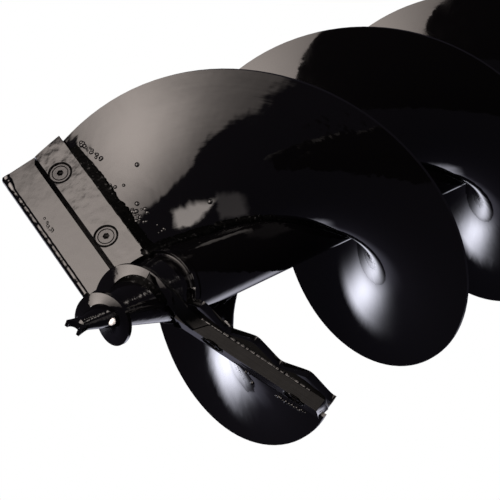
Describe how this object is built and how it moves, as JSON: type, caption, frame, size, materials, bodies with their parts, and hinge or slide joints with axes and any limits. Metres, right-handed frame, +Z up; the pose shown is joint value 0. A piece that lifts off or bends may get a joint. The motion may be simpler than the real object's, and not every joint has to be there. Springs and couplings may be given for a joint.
{
  "type": "soil auger bit",
  "caption": "Double-flighted earth auger bit with a spiral fishtail pilot, bolted straight and toothed cutting blades, and a pinned drive socket.",
  "frame": {"origin": "centre of the drive socket's mouth", "axes": "+X along the tube's axis from the pilot tip to the drive end, +Z up with the auger lying on its side, +Y completes the right-handed frame"},
  "size_m": [0.8, 0.3088, 0.3],
  "materials": {
    "black_enamel": "gloss black enamel",
    "enamelled_fasteners": "gloss black enamel over steel",
    "zinc_steel": "bright zinc plate"
  },
  "bodies": {
    "auger_bit": {"centre_tube": "black_enamel", "flight_a": "black_enamel", "flight_b": "black_enamel", "pilot_point": "black_enamel", "pilot_flight": "black_enamel", "pilot_weld": "black_enamel", "clamp_bar_a": "black_enamel", "clamp_bar_b": "black_enamel", "straight_blade": "black_enamel", "toothed_blade": "black_enamel", "blade_screws": "enamelled_fasteners", "blade_nuts": "enamelled_fasteners", "drive_coupler": "black_enamel", "coupler_weld": "black_enamel"},
    "cross_pin": {"drive_pin": "zinc_steel"},
    "clip": {"hairpin_clip": "zinc_steel"}
  },
  "joints": [
    {"name": "pin_turn", "type": "hinge", "parent": "auger_bit", "child": "cross_pin", "pos_m": [-0.042, 0, 0], "axis": [0, 0, 1], "continuous": true},
    {"name": "clip_pull", "type": "slide", "parent": "cross_pin", "child": "clip", "axis": [0, 1, 0], "range_m": [0, 0.015]}
  ]
}
